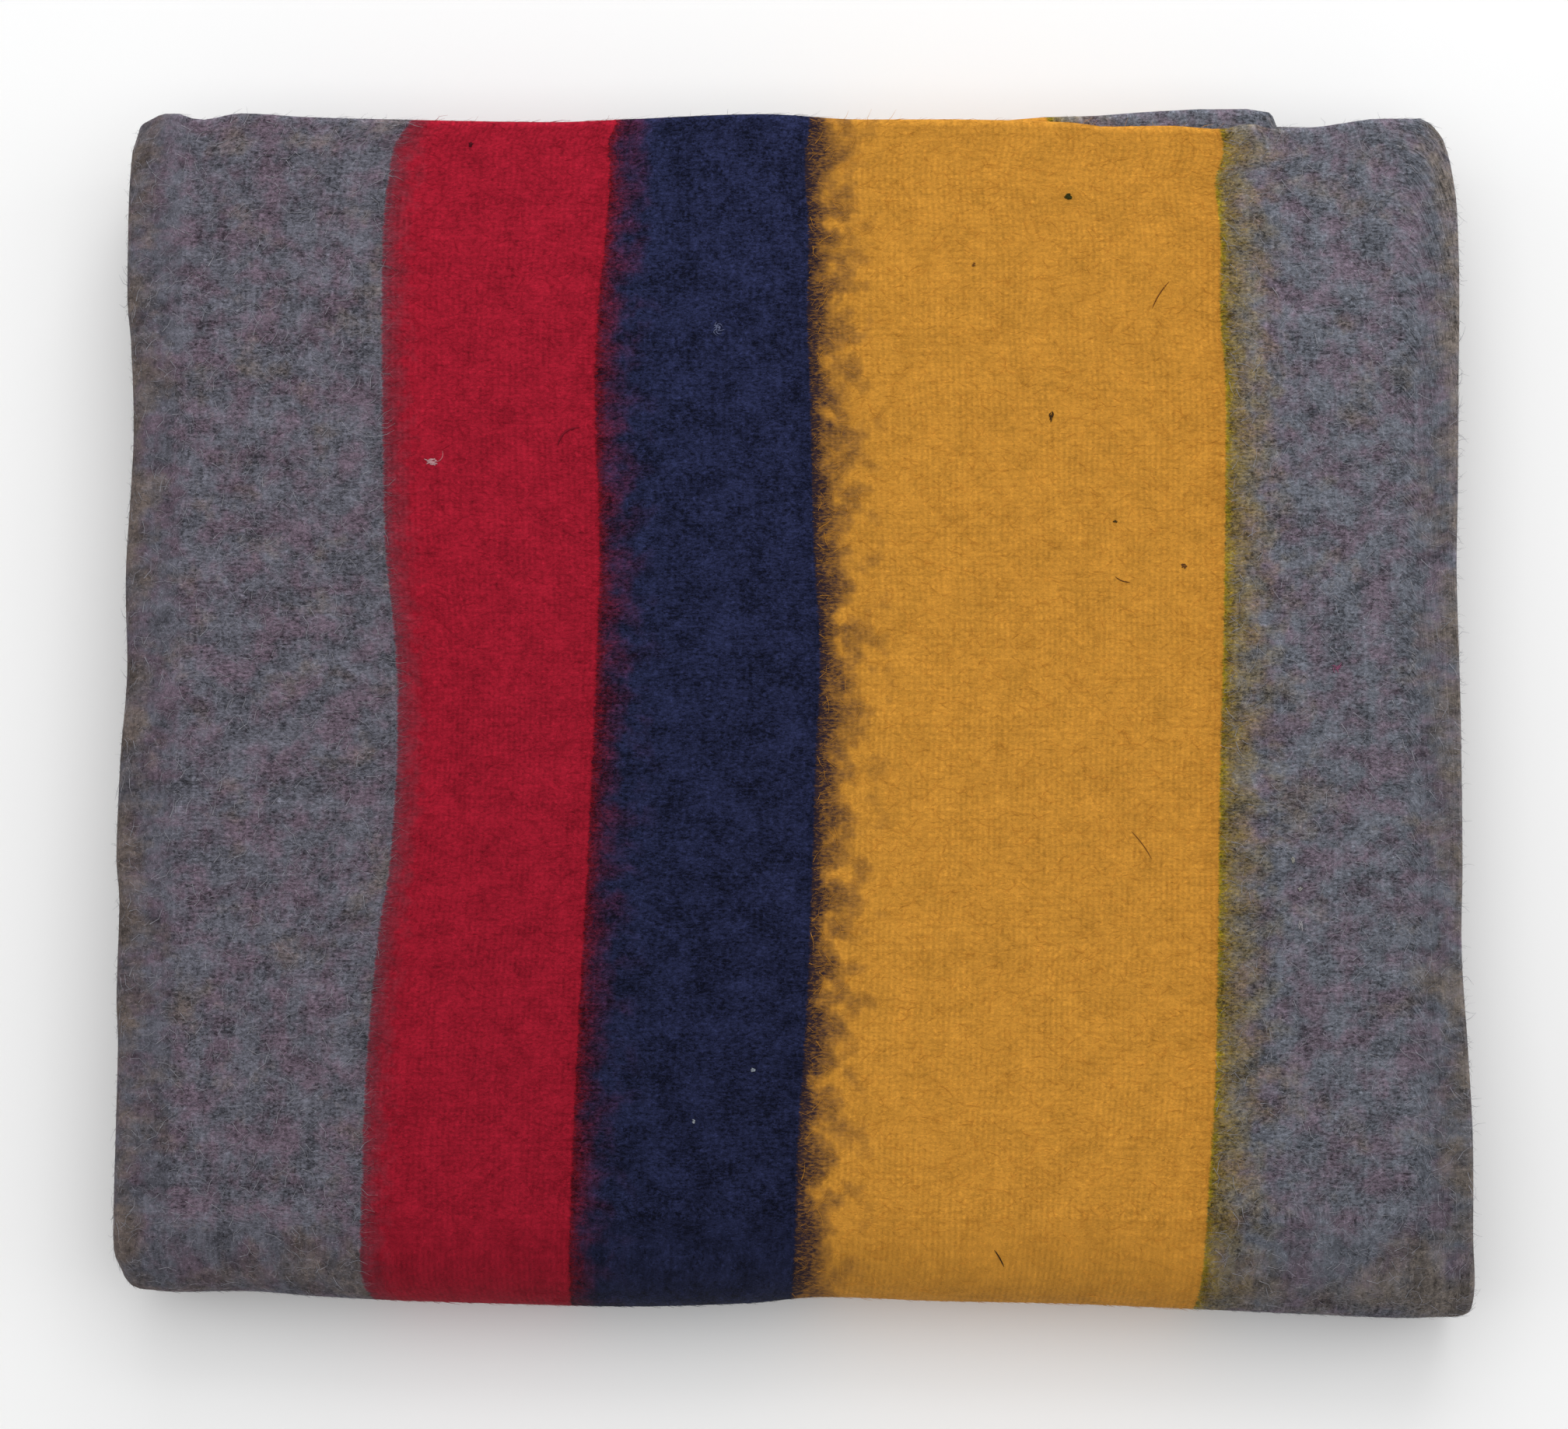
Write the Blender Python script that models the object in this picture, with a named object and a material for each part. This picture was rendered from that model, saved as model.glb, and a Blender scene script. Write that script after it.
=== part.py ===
"""A napped wool blanket: one sheet, quartered along its length and then quartered across its width.

The sheet starts as a flat grid. Its long way is folded into a section of four layers, seen from the
front, and that strip of four layers is folded again, seen from the side, into a stack of sixteen.
"""
import bisect
import collections
import math

import bmesh
import bpy
from mathutils import Vector

# Driving sizes, in metres. X runs across the stripes, Y along them, and the stack rests on Z = 0.
CLOTH = 0.0034
PITCH = 0.0043
LEFT = -0.259
RIGHT = 0.258
FRONT = -0.229
BACK = 0.231
TUCKED_HEM = 0.186
HEM_ROLL = 0.008
HEM_TURN = 40.0
RIGHT_FOLD_INSET = 0.0015
FRONT_CORNER = 0.015
FRONT_FOLD_AIR = 0.001
BACK_FOLD_INSET = 0.003
INNER_SELVEDGE_INSET = 0.002

# What the folds make of them.
STRIP = 4 * PITCH
OUTER_LAYER = 1.5 * PITCH
INNER_LAYER = 0.5 * PITCH
HALF_STRIP = OUTER_LAYER + CLOTH / 2
STACK = 3 * STRIP + 2 * HALF_STRIP
LEFT_FOLD = LEFT + HALF_STRIP
HEM_LINE = RIGHT - (HEM_ROLL + CLOTH / 2) * math.sin(math.radians(HEM_TURN))
RIGHT_FOLD = RIGHT - RIGHT_FOLD_INSET - INNER_LAYER - CLOTH / 2
FRONT_LINE = FRONT + FRONT_CORNER + HALF_STRIP
BACK_FOLD = BACK - BACK_FOLD_INSET - STRIP / 2 - HALF_STRIP
INNER_FRONT_FOLD = FRONT + 2 * HALF_STRIP + FRONT_FOLD_AIR + STRIP / 2 + HALF_STRIP

# One row for each run of the fold, in the order in which the cloth goes. A run with a turn is a bend, made
# in as many steps. A flat run has its grid lines where the lists of lines put them, in every layer alike.
Run = collections.namedtuple("Run", "name length radius turn steps")
LAYERS = (
    Run("hem roll", 0, HEM_ROLL, HEM_TURN, 3),
    Run("upper layer", HEM_LINE - LEFT_FOLD, 0, 0, 0),
    Run("outer left fold", 0, OUTER_LAYER, 180, 6),
    Run("lower layer", RIGHT_FOLD - LEFT_FOLD, 0, 0, 0),
    Run("right fold", 0, INNER_LAYER, 180, 4),
    Run("third layer", RIGHT_FOLD - LEFT_FOLD, 0, 0, 0),
    Run("inner left fold", 0, INNER_LAYER, -180, 4),
    Run("tucked layer", TUCKED_HEM - LEFT_FOLD, 0, 0, 0),
)
STRIPS = (
    Run("upper strip", BACK - FRONT_LINE, 0, 0, 0),
    Run("front fold, upper corner", 0, FRONT_CORNER, 90, 3),
    Run("front fold, face", 3 * STRIP - 2 * FRONT_CORNER, 0, 0, 0),
    Run("front fold, lower corner", 0, FRONT_CORNER, 90, 3),
    Run("lower strip", BACK_FOLD - FRONT_LINE, 0, 0, 0),
    Run("back fold", 0, STRIP / 2, 180, 5),
    Run("third strip", BACK_FOLD - INNER_FRONT_FOLD, 0, 0, 0),
    Run("inner front fold", 0, STRIP / 2, -180, 5),
    Run("second strip", BACK - INNER_SELVEDGE_INSET - INNER_FRONT_FOLD, 0, 0, 0),
)
LINES_X = (-0.215, -0.14, -0.06, 0.02, 0.10, 0.15, TUCKED_HEM, 0.22)
LINES_Y = (-0.165, -0.11, -0.03, 0.05, 0.13, 0.20)
LEAST_STEP = 0.008

# How far each side stands out from its straight line, in millimetres, at places along it.
LEFT_EDGE = ((-201, 0.5), (-130, -0.3), (-58, 1.6), (14, -1.3), (105, -2.2), (160, 1.2), (205, 1.6), (231, -4))
RIGHT_EDGE = (
    (-212, 1.8), (-165, 1.4), (-94, -1.4), (0, 0), (110, 1.8), (179, 2.5), (205, 0), (220, -4), (231, -12),
)
FRONT_EDGE = ((-240, -5), (-212, -4.8), (-153, -1.3), (-63, 1.1), (11, -2.5), (101, 0), (205, 4.3), (238, 5.5))
BACK_EDGE = ((-245, 2.6), (-150, -0.8), (-95, -1.1), (-12, 2), (58, -0.2), (150, -2.8), (195, -3.4), (241, 0.1))
TUCKED_EDGE = ((-240, -3), (60, -3), (88, 1), (118, 2.4), (150, 5), (172, 5), (186, 0))

# How far each strip of four layers stands out at its two sides, in millimetres.
STRIP_REACH = {
    "upper strip": (0.0, 0.0),
    "front fold, face": (-0.5, 0.5),
    "lower strip": (-2.0, 1.5),
    "third strip": (1.0, -1.5),
    "second strip": (-1.5, -3.0),
}

# How far the cut ends of the layers stand out at the back, in millimetres.
SELVEDGE_REACH = {
    "upper strip": {"lower layer": -2.5, "third layer": -1.0},
    "second strip": {"upper layer": -1.5, "lower layer": 1.0, "third layer": -0.5, "tucked layer": 0.5},
}

# The stack sinks where the tucked end is missing, and its upper edges slope down.
SINK = 0.0024
SINK_SLOPE = (TUCKED_HEM, RIGHT - 0.008)
SINK_FADE = (-0.19, -0.08)
EDGE_BAND = 0.075
SELVEDGE_BAND = 0.055
SLOPE_BAND = 0.070
FRONT_SLOPE = 0.0035
BACK_SLOPE = 0.0030
SIDE_SLOPE = 0.0025

WOOL_GREY = (0.118, 0.104, 0.127, 1)
WOOL_ROUGHNESS = 0.95
SHARP_ANGLE = 50

Station = collections.namedtuple("Station", "place normal before after part travelled")


def smooth(start, end, value):
    """0 before start and 1 after end, with a soft step between them."""
    part = min(1.0, max(0.0, (value - start) / (end - start)))
    return part * part * (3 - 2 * part)


def along(table, place):
    """The value that a table of (place, value) rows in millimetres gives at a place in metres."""
    places = [row[0] / 1000 for row in table]
    values = [row[1] / 1000 for row in table]
    if place <= places[0]:
        return values[0]
    if place >= places[-1]:
        return values[-1]
    row = bisect.bisect_right(places, place)
    return values[row - 1] + (values[row] - values[row - 1]) * smooth(places[row - 1], places[row], place)


def flat_parts(start, direction, length, lines):
    """How far along a flat run its grid lines are, as parts of its length."""
    if abs(direction) < 0.5:
        return [1.0]
    reached = sorted((line - start) / direction for line in lines)
    return [reach / length for reach in reached if LEAST_STEP < reach < length - LEAST_STEP] + [1.0]


def folded_line(start, heading, runs, lines):
    """Walks along the runs and gives a station at each grid line of the sheet."""
    x, y = start
    angle = math.radians(heading)
    travelled = 0.0
    stations = []
    for number, run in enumerate(runs):
        turn = math.radians(run.turn)
        length = abs(turn) * run.radius or run.length
        before = runs[max(0, number - 1)].name if turn else run.name
        after = runs[min(len(runs) - 1, number + 1)].name if turn else run.name
        parts = [(step + 1) / run.steps for step in range(run.steps)]
        parts = parts or flat_parts(x, math.cos(angle), length, lines)
        for part in parts if stations else [0.0] + parts:
            reach = 2 * run.radius * math.sin(abs(turn) * part / 2) if turn else length * part
            middle = angle + turn * part / 2
            facing = angle + turn * part
            place = (x + reach * math.cos(middle), y + reach * math.sin(middle))
            normal = (math.sin(facing), -math.cos(facing))
            stations.append(Station(place, normal, before, after, part, travelled + length * part))
        x, y = stations[-1].place
        angle += turn
        travelled += length
    return stations


def at_station(values, station, default):
    """The value for the run that a station is on, or between its neighbours' values on a bend."""
    before = values.get(station.before, default)
    after = values.get(station.after, default)
    return before + (after - before) * station.part


def side_reach(strip, side):
    reach = {name: row[side] / 1000 for name, row in STRIP_REACH.items()}
    return at_station(reach, strip, 0.0)


def selvedge_reach(layer, strip, x, sheet_width):
    """How far this point of a layer stands out at the back, fading away from the cut edge."""
    if strip.before not in SELVEDGE_REACH:
        return 0.0
    reach = {name: value / 1000 for name, value in SELVEDGE_REACH[strip.before].items()}
    from_edge = strip.travelled if strip.before == "upper strip" else sheet_width - strip.travelled
    if strip.before == "upper strip":
        reach["upper layer"] = along(BACK_EDGE, x)
        reach["tucked layer"] = along(TUCKED_EDGE, x)
    fade = 1 - smooth(0, SELVEDGE_BAND, from_edge)
    return at_station(reach, layer, 0.0) * fade


def sunk(x, y, z):
    """How far the layers above each missing piece of the tucked layer come down."""
    depth = SINK * smooth(*SINK_SLOPE, x) * smooth(*SINK_FADE, y)
    levels = (
        HALF_STRIP - INNER_LAYER,
        HALF_STRIP + STRIP + INNER_LAYER,
        HALF_STRIP + 2 * STRIP - INNER_LAYER,
        HALF_STRIP + 3 * STRIP + INNER_LAYER,
    )
    gap = PITCH - CLOTH / 2
    return depth * sum(smooth(level - gap, level + gap, z) for level in levels)


def sloped(x, y, z):
    """How far the upper layers slope down towards the sides."""
    slope = FRONT_SLOPE * (1 - smooth(0, SLOPE_BAND, y - FRONT))
    slope += BACK_SLOPE * (1 - smooth(0, SLOPE_BAND, BACK - y))
    slope += SIDE_SLOPE * (1 - smooth(0, SLOPE_BAND, x - LEFT))
    slope += SIDE_SLOPE * (1 - smooth(0, SLOPE_BAND, RIGHT - x)) / 2
    return slope * max(0.0, z - CLOTH) / (STACK - CLOTH)


def folded_point(layer, strip, depth, sheet_width):
    """The place of one point of the sheet after both folds, with the unevenness of its sides."""
    x = layer.place[0] + depth * layer.normal[0]
    level = layer.place[1] + depth * layer.normal[1]
    y = strip.place[0] + level * strip.normal[0]
    z = strip.place[1] + level * strip.normal[1]
    near_left = 1 - smooth(0, EDGE_BAND, x - LEFT)
    near_right = 1 - smooth(0, EDGE_BAND, RIGHT - x)
    near_front = 1 - smooth(0, EDGE_BAND, y - FRONT)
    new_x = x - near_left * (along(LEFT_EDGE, y) + side_reach(strip, 0))
    new_x += near_right * (along(RIGHT_EDGE, y) + side_reach(strip, 1))
    new_y = y - near_front * along(FRONT_EDGE, x)
    new_y += selvedge_reach(layer, strip, x, sheet_width)
    return new_x, new_y, z - sunk(x, y, z) - sloped(x, y, z)


def wool():
    material = bpy.data.materials.new("grey wool")
    material.use_nodes = True
    shader = material.node_tree.nodes["Principled BSDF"]
    shader.inputs["Base Color"].default_value = WOOL_GREY
    shader.inputs["Roughness"].default_value = WOOL_ROUGHNESS
    shader.inputs["Metallic"].default_value = 0.0
    return material


def face_order(face):
    # One number for each face of the sheet, from its first and last corners.
    corners = [corner.index for corner in face.verts]
    return min(corners) * 1.0e6 + max(corners)


def make_blanket(collection):
    hem_turn = math.radians(HEM_TURN)
    hem_start = (HEM_LINE + HEM_ROLL * math.sin(hem_turn), OUTER_LAYER - HEM_ROLL * (1 - math.cos(hem_turn)))
    layers = folded_line(hem_start, 180 - HEM_TURN, LAYERS, LINES_X)
    strips = folded_line((BACK, HALF_STRIP + 3 * STRIP), 180, STRIPS, LINES_Y)
    sheet_width = strips[-1].travelled
    print("sheet", round(layers[-1].travelled, 3), "by", round(sheet_width, 3), "m")

    # The flat cloth: one square of the grid for each pair of stations, given its thickness and then folded.
    sheet = bmesh.new()
    bmesh.ops.create_grid(sheet, x_segments=len(layers) - 1, y_segments=len(strips) - 1, size=0.5)
    bmesh.ops.solidify(sheet, geom=sheet.faces[:], thickness=CLOTH)
    sheet.verts.index_update()
    sheet.faces.sort(key=face_order)
    middle_depth = (min(p.co.z for p in sheet.verts) + max(p.co.z for p in sheet.verts)) / 2
    for point in sheet.verts:
        layer = layers[round((point.co.x + 0.5) * (len(layers) - 1))]
        strip = strips[round((point.co.y + 0.5) * (len(strips) - 1))]
        point.co = folded_point(layer, strip, point.co.z - middle_depth, sheet_width)

    # The origin is the middle of the footprint, on the surface that the stack rests on.
    across = [point.co.x for point in sheet.verts]
    deep = [point.co.y for point in sheet.verts]
    middle = Vector(((min(across) + max(across)) / 2, (min(deep) + max(deep)) / 2, 0))
    bmesh.ops.translate(sheet, verts=sheet.verts[:], vec=-middle)
    mesh = bpy.data.meshes.new("blanket")
    sheet.to_mesh(mesh)
    sheet.free()
    mesh.materials.append(wool())
    mesh.shade_smooth()
    mesh.set_sharp_from_angle(angle=math.radians(SHARP_ANGLE))
    collection.objects.link(bpy.data.objects.new("blanket", mesh))


for old in list(bpy.data.objects):
    bpy.data.objects.remove(old)
folded_blanket = bpy.data.collections.new("folded blanket")
bpy.context.scene.collection.children.link(folded_blanket)
make_blanket(folded_blanket)
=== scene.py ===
import collections
import math
import types

import bmesh
import bpy
import numpy as np
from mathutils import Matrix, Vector
from mathutils.bvhtree import BVHTree


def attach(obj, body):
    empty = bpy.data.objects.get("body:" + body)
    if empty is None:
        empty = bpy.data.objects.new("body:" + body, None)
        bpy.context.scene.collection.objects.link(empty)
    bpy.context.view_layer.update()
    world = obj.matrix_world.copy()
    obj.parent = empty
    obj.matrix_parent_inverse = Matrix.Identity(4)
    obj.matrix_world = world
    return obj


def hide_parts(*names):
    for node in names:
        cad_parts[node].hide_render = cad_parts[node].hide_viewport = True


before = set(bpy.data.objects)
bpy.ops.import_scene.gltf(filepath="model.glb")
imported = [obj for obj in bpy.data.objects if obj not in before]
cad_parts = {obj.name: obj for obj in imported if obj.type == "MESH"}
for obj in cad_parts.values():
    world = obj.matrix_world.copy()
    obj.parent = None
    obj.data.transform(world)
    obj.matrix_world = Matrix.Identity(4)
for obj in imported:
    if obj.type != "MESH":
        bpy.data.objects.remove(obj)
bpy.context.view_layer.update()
bodyName = "root"

# Lengths are in metres. X runs across the stripes, Y along them, and the stack rests on z = 0.
# Tables along an edge are in millimetres.

fold = {
    "cloth": 0.0034,             # thickness of the felted wool
    "pitch": 0.0043,             # from one layer to the next
    "left": -0.259, "right": 0.258, "front": -0.229, "back": 0.231,
    "tuckedHem": 0.190,          # where the tucked end of the cloth stops
    "hemRoll": 0.008, "hemTurn": 40.0,
    "rightFoldInset": 0.0015,
    "frontCorner": 0.015, "frontFoldAir": 0.001,
    "backFoldInset": 0.003, "innerSelvedgeInset": 0.002,
    "fineStep": 0.0055, "coarseStep": 0.020, "leastStep": 0.0022,
    "rimSteps": (0.0, 0.0003, 0.0008, 0.0016, 0.0030),
    "rimRadius": 0.0019, "rimHeight": 0.14,
    "sideBand": 0.060, "selvedgeBand": 0.050, "slopeBand": 0.070,
    "frontSlope": 0.0035, "backSlope": 0.0030, "sideSlope": 0.0025,
    "sink": 0.0024, "sinkFade": (-0.19, -0.08), "sinkInset": 0.008,
    "swell": 0.0007,             # height of the low waves in the top
    "calm": 0.05,                # how far in from the sides they rise
}
# The low waves: share of the height, waves across and along in radians to a metre, and where each starts.
swells = ((1.0, 31, 12, 0.6), (0.8, 9, -44, 2.1), (0.5, 58, 37, 4.0))

# How far the sides stand out from their straight lines, as (place, stands out).
sideShape = {
    "left": (
        (-222, -1), (-213, 0.6), (-201, 0.6), (-165, 0), (-130, -0.3), (-112, 0.6), (-76, 0.1), (-58, 1.6),
        (-22, 0.8), (14, -1.3), (50, -0.1), (87, -1.6), (105, -2.2), (142, -0.6), (160, 1.2), (198, 1.6),
        (219, 0.8), (231, -2),
    ),
    "right": (
        (-221, 2.2), (-201, 1.4), (-165, 1.8), (-130, 1.2), (-94, 0.2), (-58, 1.3), (-4, 1.6), (50, 1.0),
        (87, 2.1), (123, 3.0), (179, 4.2), (198, 4.0), (210, 2.8), (220, 1.0), (226, -1.0), (231, -4.2),
    ),
    "front": (
        (-252, -5.4), (-239, -4.4), (-212, -4.8), (-182, -2.8), (-153, -1.3), (-93, 0.5), (-63, 1.1),
        (-18, -0.1), (11, -2.5), (56, -1), (101, -0.1), (146, 1.7), (205, 4.3), (235, 5.5), (250, 5),
    ),
    "back": (
        (-257, 0.5), (-245, 3.2), (-233, 0.4), (-217, 2.6), (-187, 0.7), (-95, -1.1), (-64, 0.1), (-12, 2),
        (27, -0.2), (58, -0.2), (88, -0.6), (111, -1.5), (122, -2.9), (147, -2.5), (168, -3.9), (173, -3.0),
        (179, -1.2), (184, -3.6), (189, -3.8), (201, -3.2), (236, 2.6), (250, 3.0),
    ),
    "tucked": (
        (-240, -3), (60, -3), (88, 1.4), (118, 2.4), (134, 3.6), (150, 5), (176, 5.2), (184, 4.8), (187, 3.8),
        (188.6, 2), (190, -1.5),
    ),
}
stripReach = {"front fold, face": (-0.5, 0.5), "lower strip": (-2.0, 1.5), "third strip": (1.0, -1.5),
              "second strip": (-1.5, -3.0)}
selvedgeReach = {
    "upper strip": {"lower layer": -2.5, "third layer": -1.0},
    "second strip": {"upper layer": -1.5, "lower layer": 1.0, "third layer": -0.5, "tucked layer": 0.5},
}
# Soft hollows in the top and the sides: x, y, radius, depth in millimetres.
hollows = (
    (-222, -222, 13, 1.6), (24, -226, 22, 1.5), (-236, 232, 9, 1.2), (-40, 60, 70, 0.6), (205, -60, 45, 0.7),
)

strip = 4 * fold["pitch"]
outerLayer = 1.5 * fold["pitch"]
innerLayer = 0.5 * fold["pitch"]
halfStrip = outerLayer + fold["cloth"] / 2
stack = 3 * strip + 2 * halfStrip
leftFold = fold["left"] + halfStrip
hemTurn = math.radians(fold["hemTurn"])
hemLine = fold["right"] - (fold["hemRoll"] + fold["cloth"] / 2) * math.sin(hemTurn)
rightFold = fold["right"] - fold["rightFoldInset"] - innerLayer - fold["cloth"] / 2
frontLine = fold["front"] + fold["frontCorner"] + halfStrip
backFold = fold["back"] - fold["backFoldInset"] - strip / 2 - halfStrip
innerFrontFold = fold["front"] + 2 * halfStrip + fold["frontFoldAir"] + strip / 2 + halfStrip

# One row for each run of the fold, in the order in which the cloth goes.
Run = collections.namedtuple("Run", "name length radius turn steps fine rim", defaults=(False, None))
layerRuns = (
    Run("hem roll", 0, fold["hemRoll"], fold["hemTurn"], 6, rim="start"),
    Run("upper layer", hemLine - leftFold, 0, 0, 0, fine=True),
    Run("outer left fold", 0, outerLayer, 180, 12),
    Run("lower layer", rightFold - leftFold, 0, 0, 0),
    Run("right fold", 0, innerLayer, 180, 8),
    Run("third layer", rightFold - leftFold, 0, 0, 0),
    Run("inner left fold", 0, innerLayer, -180, 6),
    Run("tucked layer", fold["tuckedHem"] - leftFold, 0, 0, 0, rim="end"),
)
stripRuns = (
    Run("upper strip", fold["back"] - frontLine, 0, 0, 0, fine=True, rim="start"),
    Run("front fold, upper corner", 0, fold["frontCorner"], 90, 8),
    Run("front fold, face", 3 * strip - 2 * fold["frontCorner"], 0, 0, 3),
    Run("front fold, lower corner", 0, fold["frontCorner"], 90, 6),
    Run("lower strip", backFold - frontLine, 0, 0, 0),
    Run("back fold", 0, strip / 2, 180, 12),
    Run("third strip", backFold - innerFrontFold, 0, 0, 0),
    Run("inner front fold", 0, strip / 2, -180, 8),
    Run("second strip", fold["back"] - fold["innerSelvedgeInset"] - innerFrontFold, 0, 0, 0, rim="end"),
)


def softStep(start, end, value):
    part = np.clip((value - start) / (end - start), 0.0, 1.0)
    return part * part * (3 - 2 * part)


def along(table, place):
    # A smooth curve through the rows of a table, level beyond its ends.
    places, values = np.array(table, dtype=float).T / 1000
    rates = np.diff(values) / np.diff(places)
    before, after = rates[:-1], rates[1:]
    level = before * after <= 0
    inner = np.where(level, 0, 2 * before * after / np.where(level, 1, before + after))
    slopes = np.concatenate([[0], inner, [0]])
    place = np.clip(place, places[0], places[-1])
    row = np.clip(np.searchsorted(places, place), 1, len(places) - 1)
    span = places[row] - places[row - 1]
    part = (place - places[row - 1]) / span
    blend = part * part * (3 - 2 * part)
    rise = part * (1 - part) * ((1 - part) * slopes[row - 1] - part * slopes[row]) * span
    return values[row - 1] * (1 - blend) + values[row] * blend + rise


def runParts(run, start, direction, length, low, high):
    # Where the grid lines of one run are, as parts of its length.
    parts = [(step + 1) / run.steps for step in range(run.steps)]
    if not run.steps:
        step = fold["fineStep"] if run.fine else fold["coarseStep"]
        count = round((high - low) / step)
        lines = [low + (high - low) * number / count for number in range(1, count)] + [fold["tuckedHem"]]
        if run.fine:
            lines.remove(fold["tuckedHem"])
        reached = [(line - start) / direction for line in lines]
        inside = [reach for reach in reached if fold["leastStep"] < reach < length - fold["leastStep"]]
        parts = [reach / length for reach in inside] + [1.0]
    clear = fold["rimSteps"][-1] * 1.4 / length
    rim = [step / length for step in fold["rimSteps"]]
    if run.rim == "start":
        parts = rim + [part for part in parts if part > clear]
    if run.rim == "end":
        parts = [part for part in parts if part < 1 - clear] + [1 - part for part in rim]
    return sorted(set(parts))


def foldedLine(start, heading, runs, low, high):
    # Walks along the runs and gives a station at each grid line of the sheet.
    x, y = start
    angle = math.radians(heading)
    travelled = 0.0
    stations = []
    for number, run in enumerate(runs):
        turn = math.radians(run.turn)
        length = abs(turn) * run.radius or run.length
        before = runs[max(0, number - 1)].name if turn else run.name
        after = runs[min(len(runs) - 1, number + 1)].name if turn else run.name
        for part in runParts(run, x, math.cos(angle), length, low, high):
            reach = 2 * run.radius * math.sin(abs(turn) * part / 2) if turn else length * part
            middle = angle + turn * part / 2
            facing = angle + turn * part
            place = (x + reach * math.cos(middle), y + reach * math.sin(middle))
            normal = (math.sin(facing), -math.cos(facing))
            stations.append((place, normal, before, after, part, travelled + length * part))
        x, y = stations[-1][0]
        angle += turn
        travelled += length
    place, normal, before, after, part, reached = (np.array(column) for column in zip(*stations))
    names = {run.name for run in runs}
    share = {name: (before == name) * (1 - part) + (after == name) * part for name in names}
    return types.SimpleNamespace(place=place, normal=normal, share=share, travelled=reached, total=travelled)


def byRun(stations, values):
    # A value for each station, from the values of the runs that it lies on or between.
    return sum(stations.share[name] * value for name, value in values.items())


def sunk(x, y, z):
    # How far the layers above each missing piece of the tucked layer come down.
    slope = softStep(fold["tuckedHem"], fold["right"] - fold["sinkInset"], x)
    depth = fold["sink"] * slope * softStep(*fold["sinkFade"], y)
    levels = (
        halfStrip - innerLayer,
        halfStrip + strip + innerLayer,
        halfStrip + 2 * strip - innerLayer,
        halfStrip + 3 * strip + innerLayer,
    )
    gap = fold["pitch"] - fold["cloth"] / 2
    return depth * sum(softStep(level - gap, level + gap, z) for level in levels)


def lowered(x, y, z):
    # How far the upper layers slope down to the sides and wave up and down.
    band = fold["slopeBand"]
    drop = fold["frontSlope"] * (1 - softStep(0, band, y - fold["front"]))
    drop += fold["backSlope"] * (1 - softStep(0, band, fold["back"] - y))
    drop += fold["sideSlope"] * (1 - softStep(0, band, x - fold["left"]))
    drop += fold["sideSlope"] * (1 - softStep(0, band, fold["right"] - x)) / 2
    inside = softStep(0, fold["calm"], x - fold["left"]) * softStep(0, fold["calm"], fold["right"] - x)
    waves = sum(height * np.sin(across * x + deep * y + start) for height, across, deep, start in swells)
    drop += fold["swell"] * (1 + waves) * inside / 2
    for middleX, middleY, radius, depth in hollows:
        distance = np.hypot(x - middleX / 1000, y - middleY / 1000) * 1000
        drop += depth / 1000 * np.exp(-((distance / radius) ** 2))
    return drop * np.maximum(0.0, z - fold["cloth"]) / (stack - fold["cloth"])


def foldedPoints(layers, strips, layer, row, depth):
    # The places of points of the sheet after both folds, with the unevenness of its sides.
    x = layers.place[layer, 0] + depth * layers.normal[layer, 0]
    level = layers.place[layer, 1] + depth * layers.normal[layer, 1]
    y = strips.place[row, 0] + level * strips.normal[row, 0]
    z = strips.place[row, 1] + level * strips.normal[row, 1]
    band = fold["sideBand"]
    reachLeft = byRun(strips, {name: value[0] / 1000 for name, value in stripReach.items()})[row]
    reachRight = byRun(strips, {name: value[1] / 1000 for name, value in stripReach.items()})[row]
    newX = x - (1 - softStep(0, band, x - fold["left"])) * (along(sideShape["left"], y) + reachLeft)
    newX += (1 - softStep(0, band, fold["right"] - x)) * (along(sideShape["right"], y) + reachRight)
    newY = y - (1 - softStep(0, band, y - fold["front"])) * along(sideShape["front"], x)
    for name, values in selvedgeReach.items():
        reach = sum(layers.share[key][layer] * value / 1000 for key, value in values.items())
        fromEdge = strips.travelled[row]
        if name == "upper strip":
            reach = reach + layers.share["upper layer"][layer] * along(sideShape["back"], x)
            reach = reach + layers.share["tucked layer"][layer] * along(sideShape["tucked"], x)
        else:
            fromEdge = strips.total - fromEdge
        newY += strips.share[name][row] * reach * (1 - softStep(0, fold["selvedgeBand"], fromEdge))
    return np.stack([newX, newY, z - sunk(x, y, z) - lowered(x, y, z)], axis=1)


def rimFactor(stations):
    # The felted rim of the cloth is rounded, so the sheet thins to its edge.
    fromEdge = np.minimum(stations.travelled, stations.total - stations.travelled)
    inwards = np.clip(1 - fromEdge / fold["rimRadius"], 0, 1)
    return np.sqrt(1 - inwards ** 2) * (1 - fold["rimHeight"]) + fold["rimHeight"]


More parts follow.
